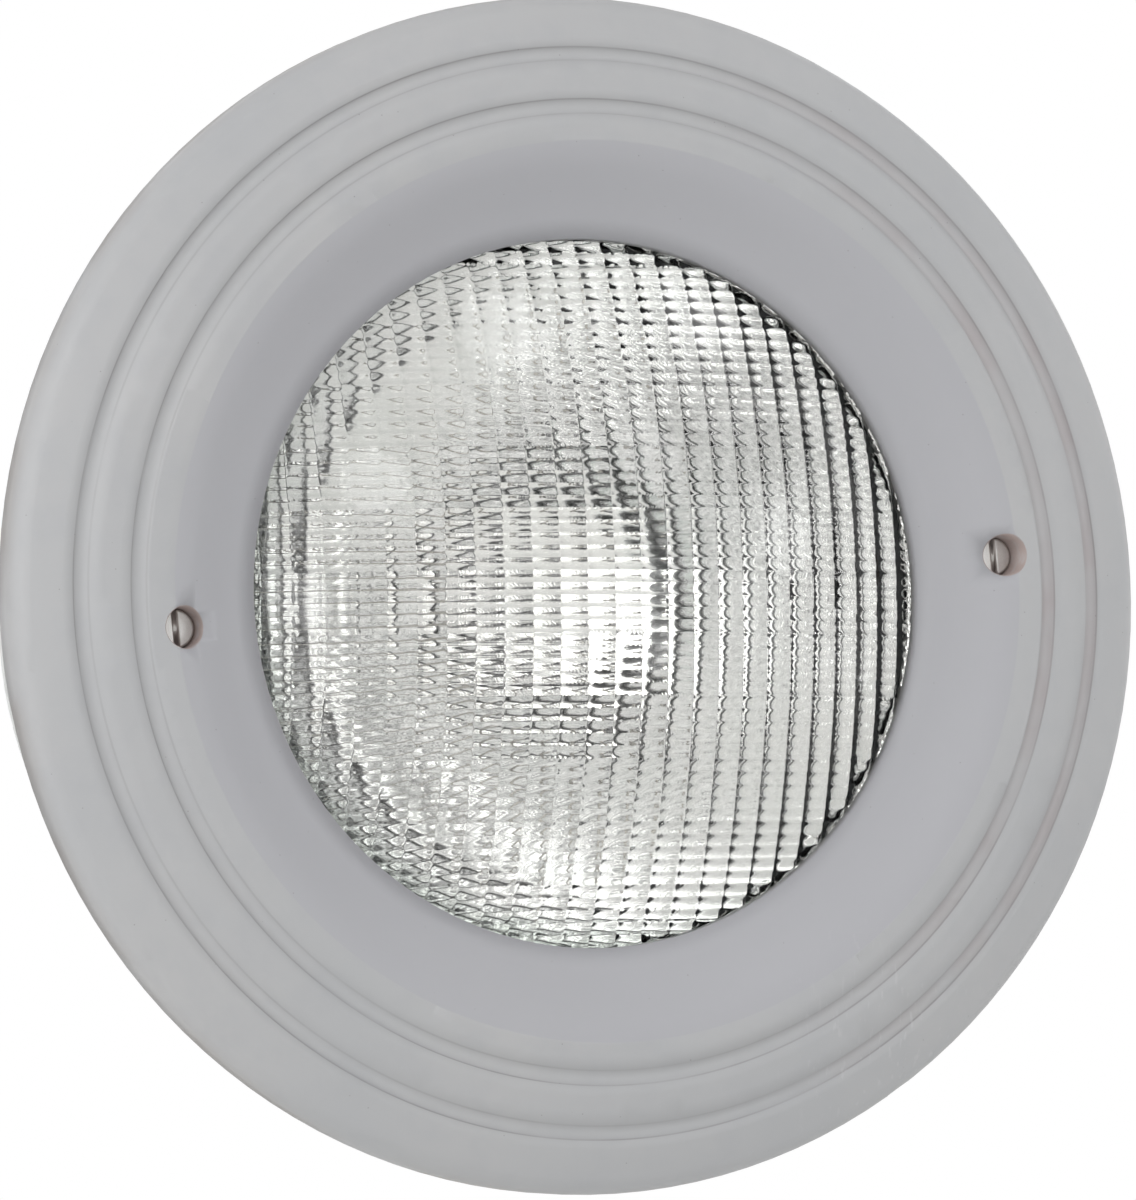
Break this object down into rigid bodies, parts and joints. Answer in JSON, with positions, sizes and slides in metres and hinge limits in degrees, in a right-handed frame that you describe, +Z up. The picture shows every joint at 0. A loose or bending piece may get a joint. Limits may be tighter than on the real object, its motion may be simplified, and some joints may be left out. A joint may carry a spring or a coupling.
{
  "type": "underwater pool light",
  "caption": "Round wall-mounted underwater pool light: a sealed-beam lamp in a trim ring and rear housing, held by face screws in a wall niche with cable glands.",
  "frame": {"origin": "centre of the circle of wall-fixing holes, on the back face of the niche's flange, which is the wall's surface", "axes": "+Y runs along the lamp's axis into the wall, so the light faces -Y; +Z is up, and the conduit socket is on top; +X is to the right as seen from the pool"},
  "size_m": [0.2752, 0.161, 0.2752],
  "materials": {
    "ring_plastic": "light grey satin moulded plastic",
    "lens_glass": "clear pressed glass with lenslets",
    "reflector_mirror": "aluminised glass bowl",
    "gasket_silicone": "dark grey silicone",
    "housing_plastic": "grey moulded ABS",
    "niche_plastic": "white-grey moulded ABS",
    "stainless": "A4 stainless steel",
    "brass": "bright turned brass",
    "nickel": "nickel-plated",
    "tungsten": "drawn tungsten",
    "gland_plastic": "black polyamide",
    "gland_rubber": "black EPDM",
    "nylon": "natural nylon"
  },
  "bodies": {
    "niche": {"niche_shell": "niche_plastic", "niche_flange": "niche_plastic", "niche_base": "niche_plastic", "screw_lugs": "niche_plastic", "conduit_entry": "niche_plastic", "conduit_socket": "niche_plastic", "screw_inserts": "brass", "niche_gland_body": "gland_plastic", "niche_gland_o_ring": "gland_rubber", "niche_gland_seal": "gland_rubber"},
    "light_unit": {"face_ring": "ring_plastic", "lamp_lens": "lens_glass", "lamp_reflector": "reflector_mirror", "filament": "tungsten", "filament_posts": "nickel", "lamp_ferrules": "nickel", "lamp_terminals": "brass", "terminal_screws": "nickel", "lamp_gasket": "gasket_silicone", "rear_housing": "housing_plastic", "housing_screws": "stainless", "housing_washers": "stainless", "housing_gland_body": "gland_plastic", "housing_gland_o_ring": "gland_rubber", "housing_gland_seal": "gland_rubber", "housing_gland_lock_nut": "gland_plastic"},
    "retainer_left": {"screw_retainer_left": "nylon"},
    "screw_left": {"face_screw_left": "stainless"},
    "retainer_right": {"screw_retainer_right": "nylon"},
    "screw_right": {"face_screw_right": "stainless"},
    "housing_slip_ring": {"housing_gland_slip_ring": "nylon"},
    "housing_nut": {"housing_gland_nut": "gland_plastic"},
    "niche_slip_ring": {"niche_gland_slip_ring": "nylon"},
    "niche_nut": {"niche_gland_nut": "gland_plastic"}
  },
  "joints": [
    {"name": "light_slide", "type": "slide", "parent": "niche", "child": "light_unit", "axis": [0, -1, 0], "range_m": [0, 0.15]},
    {"name": "screw_left_travel", "type": "slide", "parent": "light_unit", "child": "retainer_left", "axis": [0, -1, 0], "range_m": [0, 0.012]},
    {"name": "screw_left_spin", "type": "hinge", "parent": "retainer_left", "child": "screw_left", "pos_m": [-0.1006, 0, 0], "axis": [0, -1, 0], "range_deg": [0, 5400]},
    {"name": "screw_right_travel", "type": "slide", "parent": "light_unit", "child": "retainer_right", "axis": [0, -1, 0], "range_m": [0, 0.012]},
    {"name": "screw_right_spin", "type": "hinge", "parent": "retainer_right", "child": "screw_right", "pos_m": [0.1006, 0, 0], "axis": [0, -1, 0], "range_deg": [0, 5400]},
    {"name": "housing_nut_travel", "type": "slide", "parent": "light_unit", "child": "housing_slip_ring", "axis": [0, 1, 0], "range_m": [0, 0.009]},
    {"name": "housing_nut_spin", "type": "hinge", "parent": "housing_slip_ring", "child": "housing_nut", "pos_m": [0, 0.083, -0.047], "axis": [0, 1, 0], "range_deg": [0, 2160]},
    {"name": "niche_nut_travel", "type": "slide", "parent": "niche", "child": "niche_slip_ring", "axis": [0, 0, -1], "range_m": [0, 0.009]},
    {"name": "niche_nut_spin", "type": "hinge", "parent": "niche_slip_ring", "child": "niche_nut", "pos_m": [0, 0.105, 0.092], "axis": [0, 0, -1], "range_deg": [0, 2160]}
  ],
  "couplings": [
    {"joint": "screw_left_travel", "follows": "screw_left_spin", "m_per_rad": 0.00012732},
    {"joint": "screw_right_travel", "follows": "screw_right_spin", "m_per_rad": 0.00012732},
    {"joint": "housing_nut_travel", "follows": "housing_nut_spin", "m_per_rad": 0.00023873},
    {"joint": "niche_nut_travel", "follows": "niche_nut_spin", "m_per_rad": 0.00023873}
  ]
}
